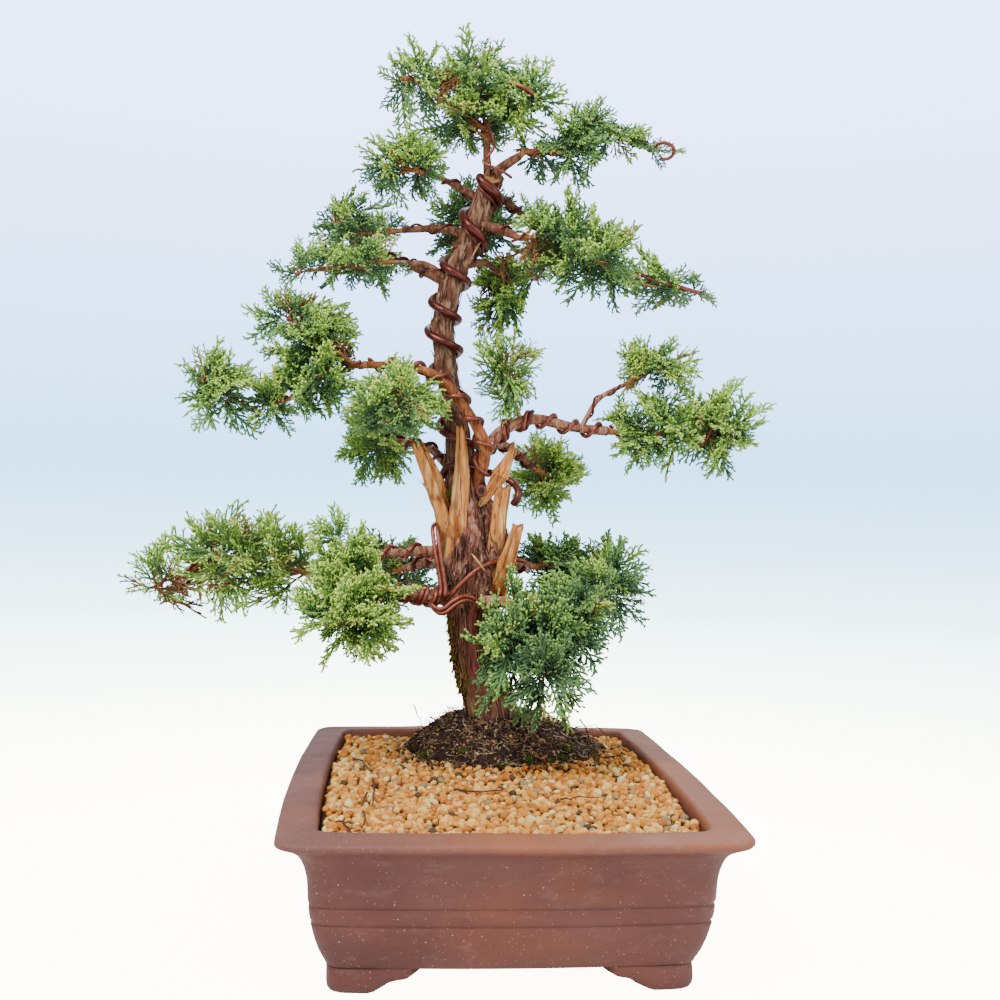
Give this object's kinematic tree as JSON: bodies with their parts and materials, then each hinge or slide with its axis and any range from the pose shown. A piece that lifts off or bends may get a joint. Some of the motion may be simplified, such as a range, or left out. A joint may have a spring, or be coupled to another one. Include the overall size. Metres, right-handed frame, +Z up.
{
  "type": "kishu juniper bonsai",
  "caption": "Slender trained juniper in an oblong unglazed pot on cloud feet, with splintered dead wood at its swollen middle and wired boughs that end in open masses of scale-leaf foliage.",
  "frame": {"origin": "middle of the whole plant's box, at the underside of the pot's feet", "axes": "+Z up along the trunk, +X to the right of the tree's front, +Y towards its back, so that -Y faces the viewer of the picture"},
  "size_m": [0.452, 0.3874, 0.6066],
  "materials": {
    "clay": "unglazed, matte, finely speckled",
    "grit": "loose moist grit",
    "roots": "fine dark roots with moss",
    "bark": "shredded red-brown bark",
    "deadwood": "bare splintered wood, pale",
    "wire": "brown anodised, satin",
    "foliage": "green scale leaves, lighter at the tips"
  },
  "bodies": {
    "root": {"pot": "clay", "soil": "grit", "root_mound": "roots", "trunk": "bark", "bough_low_left": "bark", "bough_low_right": "bark", "bough_low_left_back": "bark", "bough_low_right_back": "bark", "bough_back_low": "bark", "bough_mid_left": "bark", "bough_mid_left_front": "bark", "bough_mid_left_back": "bark", "bough_mid_right": "bark", "bough_centre_tuft": "bark", "bough_mid_right_upper": "bark", "bough_mid_right_back": "bark", "bough_high_left_low": "bark", "bough_high_left": "bark", "bough_high_right": "bark", "bough_high_back": "bark", "bough_hanging": "bark", "bough_back_high_left": "bark", "bough_back_high_right": "bark", "bough_top_left": "bark", "bough_top_right": "bark", "leader": "bark", "jin_left": "deadwood", "jin_centre": "deadwood", "jin_right_splinter": "deadwood", "jin_right_wide": "deadwood", "jin_stub": "deadwood", "wire_trunk": "wire", "wire_low_left": "wire", "wire_low_left_back": "wire", "wire_mid_left": "wire", "wire_mid_right": "wire", "mass_apex": "foliage", "mass_top_left": "foliage", "mass_top_right": "foliage", "mass_high_left_low": "foliage", "mass_high_left": "foliage", "mass_high_right": "foliage", "mass_high_back": "foliage", "mass_hanging": "foliage", "mass_back_high_left": "foliage", "mass_back_high_right": "foliage", "mass_mid_left_front": "foliage", "mass_mid_left": "foliage", "mass_mid_left_back": "foliage", "mass_centre_tuft": "foliage", "mass_mid_right": "foliage", "mass_mid_right_upper": "foliage", "mass_mid_right_back": "foliage", "mass_low_left_front": "foliage", "mass_low_left_back": "foliage", "mass_low_right_front": "foliage", "mass_low_right_back": "foliage", "mass_back_low": "foliage"}
  },
  "joints": []
}
